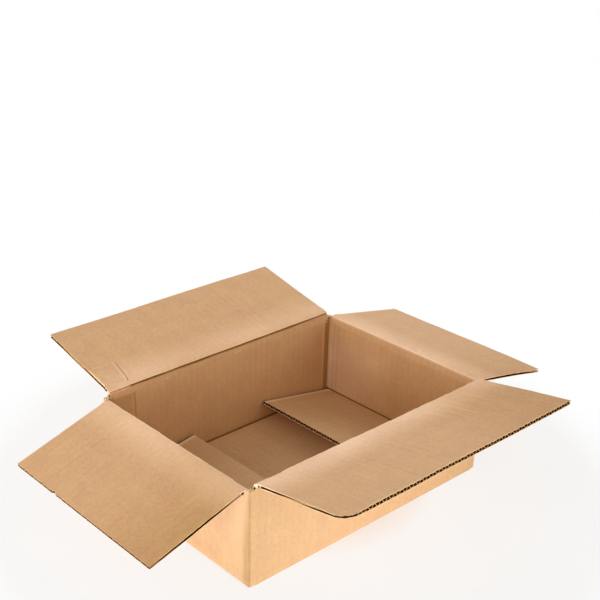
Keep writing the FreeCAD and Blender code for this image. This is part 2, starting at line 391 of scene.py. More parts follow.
def crease_frame(body, tilt):
    """A panel's own frame, standing on its hinge line and turned back by tilt from upright."""
    joint = JOINTS[body]
    yaw = math.atan2(joint["axis"][1], joint["axis"][0])
    return (
        Matrix.Translation(joint["pos_m"])
        @ Matrix.Rotation(yaw, 4, "Z")
        @ Matrix.Rotation(tilt, 4, "X")
    )


def open_angle(body):
    """How far a top flap stands open from upright: it closes a right angle past upright."""
    return math.radians(-JOINTS[body]["range_deg"][0] - 90)


def lift_angle(body):
    """How far a short bottom flap has sprung up from level."""
    return math.radians(-JOINTS[body]["range_deg"][0])


def place(obj, body, matrix):
    """Puts a flat panel where it belongs on the carton, and lets it ride on its body."""
    obj.data.transform(matrix)
    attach(obj, body)
    return obj


# ---------------------------------------------------------------- corrugated board


def wave_sheet(name, x_span, z_span, middle, swing, thick, rows, phase=0):
    """One paper of the board: a flat-topped wave across X, made a flute at a time."""
    x_low, x_high = x_span
    z_low, z_high = z_span
    flutes = round((x_high - x_low) / FLUTE_PITCH)
    pitch = (x_high - x_low) / flutes
    step = pitch / COLUMNS
    levels = []
    for column in range(COLUMNS + 1):
        wave = FLUTE_STEEPNESS * math.sin(2 * math.pi * column / COLUMNS + phase)
        levels.append(swing * max(-1.0, min(1.0, wave)))
    bpy.ops.mesh.primitive_plane_add(
        size=1,
        location=(x_low + step / 2, middle + levels[0], (z_low + z_high) / 2),
        rotation=(math.pi / 2, 0, 0),
    )
    obj = bpy.context.object
    obj.name = name
    obj.scale = (step, z_high - z_low, 1)
    bpy.ops.object.transform_apply(location=True, rotation=True, scale=True)
    edit(obj)
    push(lambda spot: spot.x > x_low + step / 2, 0, levels[1] - levels[0], 0)
    for lower, upper in zip(levels[1:], levels[2:]):
        bpy.ops.mesh.extrude_region_move(
            TRANSFORM_OT_translate={"value": (step, upper - lower, 0)}
        )
    pick("EDGE", lambda edge: along(edge, 2))
    bpy.ops.mesh.subdivide(number_cuts=rows - 1)
    done()
    apply_modifier(
        obj,
        "ARRAY",
        count=flutes,
        use_relative_offset=False,
        use_constant_offset=True,
        constant_offset_displace=(pitch, 0, 0),
        use_merge_vertices=True,
        merge_threshold=0.01 * MM,
    )
    apply_modifier(obj, "SOLIDIFY", thickness=thick, offset=0, use_even_offset=True)
    return obj


def lean(depth_at_ridge, height_at_ridge, distance, band=CRUSHED_BAND, full=INSIDE):
    """How deep the board is at a distance from the hinge, where the crease has crushed it."""
    share = max(0.0, (band - distance) / (band - height_at_ridge))
    return full - (full - depth_at_ridge) * share**CRUSH_CURVE


def crushed_band(body):
    return CRUSHED_BAND if body in WIDE_CREASES else NARROW_BAND


def ridge(opening):
    """Depth and height, in a panel's frame, of the shoulder where the inside liner turns."""
    turn = opening / 2 - RIDGE_HALF_ANGLE
    return RIDGE_RADIUS * math.cos(turn), -RIDGE_RADIUS * math.sin(turn)


def corrugated(
    name, x_span, reach, face, root, opening=None, band=0,
    papers=("outside", "inside"), light_and_wear=None, phase=0,
):
    """A flap: liners, fluting and the crushed board at its root, with one side at face.

    Where it turns on an outside crease, opening gives how far, and the root is mitred. The
    papers are those of the side at face and of the side beyond it.
    """
    mitred = opening is not None
    levels = (*CRUSH_LEVELS, MITRE_DEPTH) if mitred else (*FLOOR_LEVELS, root)
    middle, end = levels[-2], levels[-1]
    low, high = face + LINER / 2, face + BOARD - LINER / 2
    outer = wave_sheet(
        f"{name}_outer", x_span, (root, reach), low, -GHOST, LINER, ROWS["outer"]
    )
    inner = wave_sheet(
        f"{name}_inner", x_span, (end, reach), high, GHOST, LINER, ROWS["inner"]
    )
    fluting = make_fluting(name, x_span, (end, reach), face + BOARD / 2, phase)
    outline = [(low, root), (low, middle), (high, middle), (high, end)]
    core = prism(f"{name}_core", outline, *x_span)
    parts = [outer, inner, fluting, core]
    depth, height = ridge(opening) if mitred else (face + BOARD - FLOOR_GROOVE, 0)
    for part in parts[1:]:
        edit(part)
        for level in levels[:-1]:
            split((0, 0, level), (0, 0, 1))
        done()
        for vertex in part.data.vertices:
            left = lean(depth, height, vertex.co.z, band or levels[0], face + BOARD) - face
            vertex.co.y = face + (vertex.co.y - face) * left / BOARD
    for part, layer in ((outer, LINER / 2), (inner, BOARD - LINER / 2), (fluting, None)):
        pinch(part, x_span, face + BOARD / 2, layer and face + layer)
    for part in parts:
        roughen_edges(part, x_span, reach)
        remember_sheet(part, light_and_wear=light_and_wear)
        finish_shell(part)
    paint(outer, papers[0], -1)
    paint(inner, papers[1], 1)
    paint(fluting, "fluting", 1, cut="medium", level=0.25)
    paint(core, "edge", 1)
    return parts


def make_fluting(name, x_span, z_span, middle, phase):
    """The fluted medium, at a slight slant to the cut sides, so that it weaves along them."""
    x_low, x_high = x_span
    wider = (x_low - FLUTE_PITCH, x_high + FLUTE_PITCH)
    swing = (BOARD - 2 * LINER - MEDIUM) / 2 + FLUTE_TIP
    obj = wave_sheet(
        f"{name}_fluting", wider, z_span, middle, swing, MEDIUM, ROWS["fluting"], phase
    )
    for vertex in obj.data.vertices:
        vertex.co.x += FLUTE_SLANT * (vertex.co.z - z_span[1] / 2)
    edit(obj)
    split((x_high, 0, 0), (1, 0, 0), keep_all=False)
    split((x_low, 0, 0), (-1, 0, 0), keep_all=False)
    done()
    return obj


def pinch(part, x_span, middle, layer=None):
    """Brings a liner, or with no layer the fluting, nearer the middle at the cut sides."""
    for vertex in part.data.vertices:
        x, y, z = vertex.co
        edge = min(abs(x - side) for side in x_span)
        near = smooth_step(1 - edge / PINCH_WIDTH)
        near *= smooth_step((z - MITRE_DEPTH) / PINCH_ONSET)
        near *= 0.75 + 0.5 * uneven(z * 60, math.copysign(1, x), 3)
        vertex.co.y += (middle - (y if layer is None else layer)) * PINCH * near


def roughen_edges(part, x_span, reach):
    """The slotter and the knife leave a cut that isn't quite straight."""
    for vertex in part.data.vertices:
        x, y, z = vertex.co
        for side in x_span:
            near = smooth_step(1 - abs(x - side) / SIDE_ROUGHNESS)
            inwards = math.copysign(1, -side)
            vertex.co.x += inwards * near * cut_wobble(z, y, side)
        near = smooth_step(1 - (reach - z) / FREE_ROUGHNESS)
        vertex.co.z -= near * FREE_SHARE * cut_wobble(x, y, reach)


def cut_wobble(along_edge, through_board, seed):
    """How far a cut runs inside its line, in bumps a few millimetres long."""
    bump = uneven(along_edge * 160, through_board * 220, seed * 900)
    return (0.5 + 0.5 * bump) * CUT_WOBBLE


def fray(part, side):
    """A torn, jagged side where the slotting knife was blunt."""
    for vertex in part.data.vertices:
        near = smooth_step(1 - abs(vertex.co.x - side) / FRAY_WIDTH)
        jag = uneven(vertex.co.z * 420, vertex.co.y * 60, side * 90)
        vertex.co.x -= math.copysign(1, side) * near * (0.5 + jag) * FRAY_DEPTH


def warp(parts, seed):
    """A flap of dry board is never quite flat: it drifts a little as it leaves the crease."""
    for part in parts:
        for vertex in part.data.vertices:
            x, y, z = vertex.co
            free = smooth_step((z - CRUSHED_BAND) / FLAP_REACH)
            drift = uneven(x * 9, z * 12, seed) + 0.35 * uneven(x * 26, z * 26, seed + 5)
            vertex.co.y += free * drift * WARP


def wrinkle_at(body, x, z):
    """How far off the crest of a buckle a point lies, from -1 to 1, and how high it is there.

    Each buckle is bowed a little and dies out at its ends.
    """
    for at, start, end in WRINKLES.get(body, ()):
        share = (z / MM - start) / (end - start)
        bow = WRINKLE_BOW * (share - 0.5) ** 2 * math.copysign(1, at)
        off = (x - (at + bow) * MM) / WRINKLE_HALF_WIDTH
        if 0 < share < 1 and abs(off) < 1:
            return off, math.sin(math.pi * share) * (1 - off * off) ** 2
    return 0.0, 0.0


def wrinkle(liner, body):
    """Raises the buckles of a flap's inside liner."""
    for vertex in liner.data.vertices:
        vertex.co.y += WRINKLE_HEIGHT * wrinkle_at(body, vertex.co.x, vertex.co.z)[1]


def nick(parts):
    """A knock in the free edge."""
    for part in parts:
        for vertex in part.data.vertices:
            near = smooth_step(1 - abs(vertex.co.x - NICK_AT) / NICK_WIDTH)
            near *= smooth_step(1 - (FLAP_REACH - vertex.co.z) / NICK_HIGH)
            vertex.co.z -= near * NICK_DEPTH


def blunt_corner(parts, x_low):
    """A knocked corner: worn off along an arc, with the board pressed thinner round it."""
    centre = Vector((x_low + BLUNT_RADIUS, 0, FLAP_REACH - BLUNT_RADIUS))
    for part in parts:
        edit(part)
        for step in range(BLUNT_STEPS):
            turn = math.pi / 2 * (step + 0.5) / BLUNT_STEPS
            out = Vector((-math.cos(turn), 0, math.sin(turn)))
            split(centre + out * BLUNT_RADIUS, out, keep_all=False)
        done()
    middle = HINGE_OFFSET + BOARD / 2
    spot = (x_low + BLUNT_RADIUS / 4, FLAP_REACH - BLUNT_RADIUS / 4)
    for part in parts:
        for vertex in part.data.vertices:
            distance = math.hypot(vertex.co.x - spot[0], vertex.co.z - spot[1])
            amount = BLUNT_THINNING * smooth_step(1 - distance / BLUNT_PRESS)
            vertex.co.y += (middle - vertex.co.y) * amount


# ---------------------------------------------------------------- papers


def linear(text):
    """An sRGB hex value as the linear colour that a shader takes."""
    values = [int(text[i : i + 2], 16) / 255 for i in (1, 3, 5)]
    return tuple(
        v / 12.92 if v <= 0.04045 else ((v + 0.055) / 1.055) ** 2.4 for v in values
    ) + (1.0,)


def add_node(tree, kind, inputs=None, **settings):
    """Adds a node with its settings. An input takes a value, a node or a node's output."""
    made = tree.nodes.new(kind)
    for name, value in settings.items():
        setattr(made, name, value)
    for name, value in (inputs or {}).items():
        if isinstance(value, bpy.types.Node):
            value = value.outputs[0]
        if isinstance(value, bpy.types.NodeSocket):
            tree.links.new(value, made.inputs[name])
        else:
            made.inputs[name].default_value = value
    return made


def blank_material(name):
    material = bpy.data.materials.new(name)
    material.use_nodes = True
    material.node_tree.nodes.clear()
    return material, material.node_tree


# How large each pattern of the paper is, and how much it shades the tone. Streaks run along
# the flutes, drawn out by STREAK_LENGTH. Single fibres, thinner than a hair, are too fine to
# show, so they are drawn as clumps as coarse as FIBRES.
STREAKS = 2.381 * MM
STREAK_LENGTH = 0.03
CLOUDS, CLOUD_SHARE = 22.22 * MM, 0.06
MOTTLE, MOTTLE_SHARE = 4.167 * MM, 0.10
FIBRES, FIBRE_SHARE = 1.25 * MM, 0.12
FLECKS = 1.613 * MM
FLECK_RANGE = (0.64, 0.72)  # only the peaks of the fleck pattern show
HUE_RANGE = (0.491, 0.509)  # redder and yellower clouds, about 0.5 for no change
FIBRE_RELIEF = 0.05 * MM
COLOUR_LOSS = 0.45  # how much colour a place loses where its painted light and wear is 1, and gains where it is below 0


def kraft_paper(name, colour, streak, ghost, fleck, roughness, shine=0.45):
    """Paper for corrugated board, calendered on a paper machine: matt, fibrous and cloudy.

    The flutes behind it show through as pale bands a pitch apart, with finer streaks along
    them, and the recycled furnish leaves small darker flecks.
    """
    material, tree = blank_material(name)
    sheet = add_node(tree, "ShaderNodeAttribute", attribute_name="sheet").outputs["Vector"]
    # each place's painted light and shade, with some wear, lightens or darkens the paper
    painted_light_and_wear = add_node(tree, "ShaderNodeAttribute", attribute_name="painted_light_and_wear").outputs["Fac"]
    across = add_node(
        tree, "ShaderNodeMapping", {"Vector": sheet, "Scale": (1, 1, STREAK_LENGTH)}
    )
    streaks, clouds, mottle, fibres, flecks = (
        add_node(
            tree, "ShaderNodeTexNoise", {"Vector": run, "Scale": 1 / size, "Detail": detail}
        )
        for run, size, detail in (
            (across, STREAKS, 3.0),
            (sheet, CLOUDS, 3.0),
            (sheet, MOTTLE, 2.0),
            (sheet, FIBRES, 3.0),
            (sheet, FLECKS, 1.0),
        )
    )
    # at a scale of 1 this texture has 20 / (2 pi) bands to the metre
    bands = add_node(
        tree,
        "ShaderNodeTexWave",
        {"Vector": across, "Scale": 2 * math.pi / (20 * FLUTE_PITCH), "Distortion": 0.6},
        bands_direction="X",
    ).outputs["Fac"]
    tone = painted_light_and_wear
    for pattern, share in (
        (streaks, streak),
        (bands, ghost),
        (clouds, CLOUD_SHARE),
        (mottle, MOTTLE_SHARE),
        (fibres, FIBRE_SHARE),
    ):
        centred = add_node(
            tree, "ShaderNodeMapRange", {"Value": pattern, "To Min": -share, "To Max": share}
        )
        tone = add_node(tree, "ShaderNodeMath", {0: tone, 1: centred})
    spots, hue = (
        add_node(
            tree,
            "ShaderNodeMapRange",
            {"Value": pattern, "From Min": low, "From Max": high, "To Min": start, "To Max": end},
        )
        for pattern, (low, high), (start, end) in (
            (flecks, FLECK_RANGE, (0.0, fleck)),
            (clouds, (0.0, 1.0), HUE_RANGE),
        )
    )
    tone = add_node(tree, "ShaderNodeMath", {0: tone, 1: spots}, operation="SUBTRACT")
    value = add_node(tree, "ShaderNodeMath", {0: tone, 1: 1.0})
    kept_colour = add_node(
        tree, "ShaderNodeMath", {0: painted_light_and_wear, 1: -COLOUR_LOSS, 2: 1.0}, operation="MULTIPLY_ADD"
    )
    paper = add_node(
        tree,
        "ShaderNodeHueSaturation",
        {"Color": linear(colour), "Hue": hue, "Saturation": kept_colour, "Value": value},
    )
    grain = add_node(tree, "ShaderNodeMath", {0: fibres, 1: streaks})
    bump = add_node(
        tree, "ShaderNodeBump", {"Height": grain, "Distance": FIBRE_RELIEF, "Strength": 0.5}
    )
    shader = add_node(
        tree,
        "ShaderNodeBsdfPrincipled",
        {
            "Base Color": paper,
            "Roughness": roughness,
            "Specular IOR Level": shine,
            "Normal": bump,
        },
    )
    add_node(tree, "ShaderNodeOutputMaterial", {"Surface": shader})
    return material


PAPERS = {
    # kraft liner, from long new fibre: even, warm and pale, and the smoothest of them
    "outside": kraft_paper("kraft_liner_outside", "#EBC293", 0.03, 0.01, 0.10, 0.6, 0.3),
    # testliner, from recycled fibre: duller, with more flecks and faint streaks
    "inside": kraft_paper("testliner_inside", "#CE9F6E", 0.06, 0.008, 0.16, 0.68),
    # the same testliner on the walls, drawn as a darker, browner copy for painted shade, and more
    # streaked
    "shaded": kraft_paper("testliner_inside_walls", "#C19261", 0.06, 0.015, 0.14, 0.72),
    # and on the bottom flaps, drawn as a lighter copy for painted light, flutes plainest
    "floor": kraft_paper("testliner_floor_flaps", "#D8AA78", 0.08, 0.015, 0.14, 0.72),
    # liner cut through by the slotter: pale, open fibre with no shine
    "edge": kraft_paper("liner_cut_edge", "#F2D2A6", 0.02, 0.0, 0.05, 0.9, 0.2),
    # fluting medium cut through: raw brown fibre
    "medium": kraft_paper("fluting_cut_edge", "#C08A52", 0.02, 0.0, 0.05, 0.9, 0.2),
    # fluting medium, corrugated hot with steam: rough; drawn near black down in the flutes, as
    # painted shade
    "fluting": kraft_paper("fluting_painted_dark", "#3C1808", 0.03, 0.0, 0.06, 0.95, 0.0),
}


# ---------------------------------------------------------------- flaps


def flap_light_and_wear(body):
    """A flap's tone: lighter near its crease for burnish and a painted sheen, painted shade
    towards one end, and a painted highlight and shade on its buckles.
    """
    tone, end, share, sheen_and_burnish = TONES[body]

    def light_and_wear(point):
        along_crease = point.x * end / HALF_LENGTH
        patchy = 1 + 0.5 * uneven(point.x * 14, point.z * 14, len(body))
        near_crease = 1 - smooth_step(point.z / SHEEN_AND_BURNISH_WIDTH)
        dark = share * smooth_step(along_crease * 1.2)
        off, height = wrinkle_at(body, point.x, point.z)
        # painted highlight on the crest, painted shade on one flank
        shade = height * (WRINKLE_LIGHT - WRINKLE_DARK * max(0.0, off * end))
        return tone + sheen_and_burnish * patchy * near_crease - dark + shade

    return light_and_wear


def make_flap(body, node, x_span, tab_end=False):
    """A top flap, standing open on its crease."""
    opening = open_angle(body)
    parts = corrugated(
        node,
        x_span,
        FLAP_REACH,
        HINGE_OFFSET,
        MITRE_ROOT,
        opening,
        crushed_band(body),
        light_and_wear=flap_light_and_wear(body),
        phase=math.pi / 2 if body in ("left_flap", "right_flap") else 0,
    )
    liners_and_fluting = parts[:3]
    wrinkle(parts[1], body)
    if body == "front_flap":
        blunt_corner(liners_and_fluting, x_span[0])
    if body == "left_flap":
        nick(liners_and_fluting)
    if tab_end:
        parts += make_tab_end(opening, flap_light_and_wear(body))
    warp(parts, len(body) + x_span[1] * 40)
    flap = join(f"{body}_board", parts)
    place(flap, body, crease_frame(body, opening))
    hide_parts(node)


def make_tab_end(opening, light_and_wear):
    """The end of the glue tab, flattened on the inside of the back flap, and a thin dark strip
    beside
    its edge on the flap: painted shadow."""
    low, high, buried = MITRE_DEPTH, TAB_END_HIGH, -TAB_END_BURIED
    right, left = LONG_END - TAB_END_INSET, HALF_LENGTH - TAB_WIDTH
    depth, height = ridge(opening)
    parts = []

    def end_tone(point):
        """A little darker than the flap, with a painted highlight round its rim."""
        rim = smooth_step(1 - min(point.x - left, high - point.z) / TAB_RIM)
        return light_and_wear(point) + TAB_END_TONE + TAB_RIM_HIGHLIGHT * rim

    for name, thick, x_low, x_high, tone in (
        ("tab_end", TAB_END_BOARD, left, right, end_tone),
        ("tab_shadow_strip", TAB_SHADOW_DEEP, left - TAB_SHADOW_WIDE, left, lambda _: TAB_SHADOW_TONE),
    ):
        raised = tone is end_tone
        outline = [(buried, low), (thick, low), (thick, high), (buried, high)]
        obj = prism(name, outline, x_low, x_high, 6 if raised else 0)
        edit(obj)
        for level in (*CRUSH_LEVELS, high - TAB_RIM):
            split((0, 0, level), (0, 0, 1))
        if raised:
            pick("EDGE", lambda edge: all(v.co.y > thick - TOUCH for v in edge.verts)
                 and any(abs(face.normal.y) < 0.5 for face in edge.link_faces))
            bpy.ops.mesh.bevel(offset=0.3 * MM, segments=2)
        done()
        remember_sheet(obj, light_and_wear=tone)
        for vertex in obj.data.vertices:
            if raised and vertex.co.y > 0:
                grown = smooth_step((vertex.co.z - low) / TAB_END_GROWTH)
                vertex.co.y = vertex.co.y * grown - SLACK * (1 - grown)
            vertex.co.y += lean(depth, height, vertex.co.z)
            share = min(1, (right - vertex.co.x) / (right - left))
            vertex.co.x -= TAB_END_FLARE * share * (vertex.co.z - low) / (high - low)
        finish_shell(obj)
        paint(obj, "inside", 1)
        parts.append(obj)
    return parts


def make_bottom_flap(body, node, x_span, rear):
    """A short bottom flap. rear is the end of its X, -1 or 1, that is frayed, with a painted
    shadow along it and a lighter torn edge.
    """
    rear_end = x_span[1] if rear > 0 else x_span[0]

    # painted shadow of the gap at the rear end, and the lighter torn edge beside it
    def light_and_wear(point):
        from_rear = abs(point.x - rear_end)
        if from_rear < REAR_SHADOW_WIDTH:
            return REAR_SHADOW_TONE
        return FRAYED_RIM_TONE * smooth_step(1.4 - from_rear / FRAYED_RIM)

    # its crease is on the inside of the fold, so this side at 0 is the one that lies upwards
    parts = corrugated(
        node, x_span, BOTTOM_REACH, 0, 0, papers=("floor", "outside"), light_and_wear=light_and_wear,
        phase=math.pi / 2,
    )
    for part in parts:
        fray(part, rear_end)
    flap = join(f"{body}_board", parts)
    place(flap, body, crease_frame(body, lift_angle(body) - math.pi / 2))
    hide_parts(node)


def make_floor_flap(side, name):
    """One of the closed long bottom flaps. side is -1 at the front and 1 at the back."""
    reach = HALF_WIDTH - BOARD - MEETING_GAP / 2
    parts = corrugated(name, (-LONG_END, LONG_END), reach, 0, 0, papers=("outside", "floor"))
    flap = join(name, parts)
    x_axis = Vector((side, 0, 0))
    y_axis = Vector((0, 0, 1))
    z_axis = x_axis.cross(y_axis)
    turn = Matrix((x_axis, y_axis, z_axis)).transposed().to_4x4()
    start = Matrix.Translation((0, side * (HALF_WIDTH - BOARD), 0))
    place(flap, "carton", start @ turn)


# ---------------------------------------------------------------- walls

INNER_X, INNER_Y = HALF_LENGTH - BOARD, HALF_WIDTH - BOARD
SKIN = 0.5 * MM  # a place nearer than this to an outside face is on it
INNER_SKIN = CORNER_GROOVE + 0.2 * MM  # and to an inside face, grooves and all

# Painted shade on the walls: round the outside folds, in the inside corners, at the foot of a
# long wall and of a short one, on the band pressed flat beside a corner, in a groove for each
# millimetre of its depth, and a painted shadow line beside the glue tab.
CORNER_FOLD_SHADE, LONG_FOLD_TONE, SHORT_FOLD_TONE = 0.3, 0.04, 0.18
SIDE_FOLD_SHADE = 0.4
INSIDE_CORNER_SHADE = -0.55
LONG_FOOT_SHADE, SHORT_FOOT_SHADE = -0.55, -0.6
PRESSED_BAND_SHADE = -0.32
GROOVE_SHADE_PER_MM = -0.3
TAB_LINE_SHADOW = -0.15

# Painted light. Outside, a short wall grows lighter upwards from one height to another, and a
# long wall is lightest a little left of its middle. Inside, the walls are painted a little
# lighter from
# TOP_SHADE_START below their tops, up over TOP_SHADE_RISE, and the short ones lighter low down at
# the back.
PALE_OUTSIDE, PALE_FROM, PALE_TO = 0.36, 30 * MM, 80 * MM
LONG_OUTSIDE, LONG_OUTSIDE_TONE, LIGHTEST_AT = 0.08, -0.03, -0.2
TOP_SHADE_START, TOP_SHADE_RISE = 26 * MM, 16 * MM
LONG_TOP_TONE, SHORT_TOP_TONE = 0.04, 0.02
REAR_TONE, LOW_TONE = 0.4, -0.05
# How much lighter a short wall's inside is beside its corner, up to each of the first two
# grooves.
LIGHTER_BESIDE_CORNER = (0.09, 0.03)


def on_long(spot):
    """Whether a place is on a long wall, between the slots at its ends."""
    return abs(spot.x) < LONG_END + HAIR / 2 and abs(spot.y) > INNER_Y - HAIR / 2


def on_short(spot):
    return abs(spot.y) < SHORT_END + HAIR / 2 and abs(spot.x) > INNER_X - HAIR / 2


def on_post(spot):
    """Whether a place is at a corner of the carton, below a slot."""
    return not on_long(spot) and not on_short(spot)


def at_top(spot):
    return spot.z > HEIGHT - TOUCH


def inside(spot):
    return abs(spot.x) < INNER_X + TOUCH and abs(spot.y) < INNER_Y + TOUCH


def make_band():
    """Four plain walls, open above and below."""
    bpy.ops.mesh.primitive_cube_add(size=1, location=(0, 0, HEIGHT / 2))
    obj = bpy.context.object
    obj.name = "sleeve"
    obj.scale = (2 * HALF_LENGTH, 2 * HALF_WIDTH, HEIGHT)
    bpy.ops.object.transform_apply(location=True, rotation=True, scale=True)
    edit(obj)
    pick("FACE", lambda face: abs(face.normal.z) > 0.9)
    bpy.ops.mesh.delete(type="ONLY_FACE")
    done()
    apply_modifier(obj, "SOLIDIFY", thickness=BOARD, offset=-1, use_even_offset=True)
    return obj


def cut_walls():
    """Cuts the walls wherever a slot, groove, crease or shade starts or ends."""
    for sign in (-1, 1):
        for away in (-GROOVE_HALF, 0, GROOVE_HALF):
            for distance, _ in LONG_GROOVES:
                split((sign * (HALF_LENGTH - distance - away), 0, 0), (1, 0, 0))
            for distance, _ in SHORT_GROOVES:
                split((0, sign * (HALF_WIDTH - distance - away), 0), (0, 1, 0))
        for reach in (LONG_END, LONG_END + HAIR):
            split((sign * reach, 0, 0), (1, 0, 0))
        for reach in (SHORT_END, SHORT_END + HAIR):
            split((0, sign * reach, 0), (0, 1, 0))
    for body, on_wall in (("front_flap", on_long), ("left_flap", on_short)):
        for level in CRUSH_LEVELS:
            split((0, 0, JOINTS[body]["pos_m"][2] - level), (0, 0, 1), faces=on_wall)
    for level in FLOOR_LINE:
        split((0, 0, level), (0, 0, 1))
    for share in LONG_WALL_CUTS:
        split((share * HALF_LENGTH, 0, 0), (1, 0, 0))

    def on_short_side(spot):
        return abs(spot.x) > INNER_X - HAIR / 2

    for distance in TAB_LINE:
        split((distance - HALF_LENGTH, 0, 0), (1, 0, 0),
              faces=lambda spot: spot.y > INNER_Y - HAIR / 2)
    for level in (*SHORT_FOOT_LINE, HEIGHT / 2):
        split((0, 0, level), (0, 0, 1), faces=on_short_side)
    for share in SHORT_WALL_CUTS:
        split((0, share * HALF_WIDTH, 0), (0, 1, 0), faces=on_short_side)


def lean_to_creases():
    """The inside liner leans out to each crease, where the board is crushed."""
    for body, on_wall, axis, sign in (
        ("front_flap", on_long, 1, -1),
        ("back_flap", on_long, 1, 1),
        ("left_flap", on_short, 0, -1),
        ("right_flap", on_short, 0, 1),
    ):
        depth, height = ridge(open_angle(body))
        hinge_height = JOINTS[body]["pos_m"][2]

        def belongs(spot):
            return on_wall(spot) and spot[axis] * sign > 0

        for level in (*CRUSH_LEVELS[1:], MITRE_DEPTH):
            out = [0.0, 0.0]
            thinner = INSIDE - lean(depth, height, level, crushed_band(body))
            out[axis] = math.copysign(thinner, sign)
            if level == MITRE_DEPTH:
                push(lambda spot: at_top(spot) and belongs(spot) and inside(spot),
                     *out, hinge_height - level - HEIGHT)
            else:
                push(lambda spot: abs(spot.z - hinge_height + level) < TOUCH
                     and belongs(spot) and inside(spot), *out, 0)
        push(lambda spot: belongs(spot) and at_top(spot) and not inside(spot),
             0, 0, -MITRE_TOP)
        if on_wall is on_short:  # the short walls are lower
            push(lambda spot: belongs(spot) and spot.z > HEIGHT - 1.1 * MITRE_TOP,
                 0, 0, -CREASE_DROP)


def groove_corners():
    """The inside of each corner is a sharp groove, with pressed grooves beside it."""
    for across in (-1, 1):
        for side in (-1, 1):

            def below_top(spot, axis):
                return inside(spot) and spot[axis] * side > 0 and not at_top(spot)

            push(lambda spot: abs(spot.x - across * INNER_X) < TOUCH
                 and abs(spot.y - side * INNER_Y) < TOUCH,
                 across * CORNER_GROOVE, side * CORNER_GROOVE, 0)
            for distance, depth in LONG_GROOVES:
                at_x = across * (HALF_LENGTH - distance)
                push(lambda spot: abs(spot.x - at_x) < TOUCH and below_top(spot, 1),
                     0, side * depth, 0)
            first, depth = LONG_GROOVES[0]
            push(lambda spot: HALF_LENGTH - PRESSED_BAND < spot.x * across
                 < HALF_LENGTH - first - SLACK and below_top(spot, 1),
                 0, side * depth, 0)
            for distance, depth in SHORT_GROOVES:
                at_y = across * (HALF_WIDTH - distance)
                push(lambda spot: abs(spot.y - at_y) < TOUCH and below_top(spot, 0),
                     side * depth, 0, 0)


def unrolled(point):
    """Where a place on the walls lies on the flat sheet, whose X runs round the carton."""
    if abs(point.y) > INNER_Y - 1 * MM:
        return (point.x, point.y, point.z)
    return (point.y + 3 * HALF_LENGTH, point.x, point.z)


def lighter_beside_corner(distance):
    """How much lighter the inside of a short wall is, a distance away from its corner."""
    for (groove, _), tone in zip(SHORT_GROOVES[1:], LIGHTER_BESIDE_CORNER):
        if distance < groove + GROOVE_HALF / 2:
            return tone
    return 0.0


def wall_tone(point):
    """The painted light and shade of a place on the walls, outside or inside."""
    from_end = HALF_LENGTH - abs(point.x)
    from_side = HALF_WIDTH - abs(point.y)
    # painted shade round the outside fold of a corner
    if max(from_end, from_side) < BOARD - SKIN:
        fold = -CORNER_FOLD_SHADE * (1 - abs(from_end - from_side) / CORNER_RADIUS)
        return fold - (SHORT_FOLD_TONE if from_end < from_side else LONG_FOLD_TONE)
    # a short wall's outside: painted light upwards, and painted shade beside the corner
    if from_end < SKIN:
        pale = PALE_OUTSIDE * smooth_step((point.z - PALE_FROM) / (PALE_TO - PALE_FROM))
        return pale - SIDE_FOLD_SHADE * smooth_step(1 - from_side / OUTER_FOLD_SHADE)
    # a long wall's outside: painted light, lightest a little left of its middle
    if from_side < SKIN:
        swell = math.cos(2.4 * (point.x / HALF_LENGTH - LIGHTEST_AT))
        return LONG_OUTSIDE * swell + LONG_OUTSIDE_TONE
    # painted shade in the inside corner
    if max(from_end, from_side) < BOARD + SLACK:
        return INSIDE_CORNER_SHADE
    high = smooth_step((point.z - HEIGHT + TOP_SHADE_START) / TOP_SHADE_RISE)
    if from_side < from_end:
        return long_wall_tone(point, from_end, high)
    return short_wall_tone(point, from_side, high)


def groove_tone(distance, grooves):
    """Painted shade in the grooves beside a corner, darker in a deeper one, and None away from
    them.
    """
    for at, depth in grooves:
        if abs(distance - at) < GROOVE_HALF / 2:
            return GROOVE_SHADE_PER_MM * depth / MM
    return None


def long_wall_tone(point, distance, high):
    """Painted light and shade on the inside of a long wall, a distance away from its corner: high
    is 1 at the crease.
    """
    if point.z < FLOOR_LINE[0] + SLACK:
        return LONG_FOOT_SHADE
    if distance < PRESSED_BAND:
        return PRESSED_BAND_SHADE
    groove = groove_tone(distance, LONG_GROOVES)
    if groove is not None:
        return groove
    # a painted shadow line beside the glue tab
    if point.y > 0 and abs(point.x + HALF_LENGTH - TAB_LINE[0]) < HAIR:
        return TAB_LINE_SHADOW
    return LONG_TOP_TONE * high


def short_wall_tone(point, distance, high):
    """Painted light and shade on the inside of a short wall, painted lighter low down towards the
    back.
    """
    groove = groove_tone(distance, SHORT_GROOVES)
    if groove is not None:
        return groove
    if point.z < SHORT_FOOT_LINE[0] + SLACK:
        return SHORT_FOOT_SHADE
    rear = smooth_step(1.3 * point.y / HALF_WIDTH)
    top = SHORT_TOP_TONE * high
    return lighter_beside_corner(distance) + top + (REAR_TONE * rear + LOW_TONE) * (1 - high)


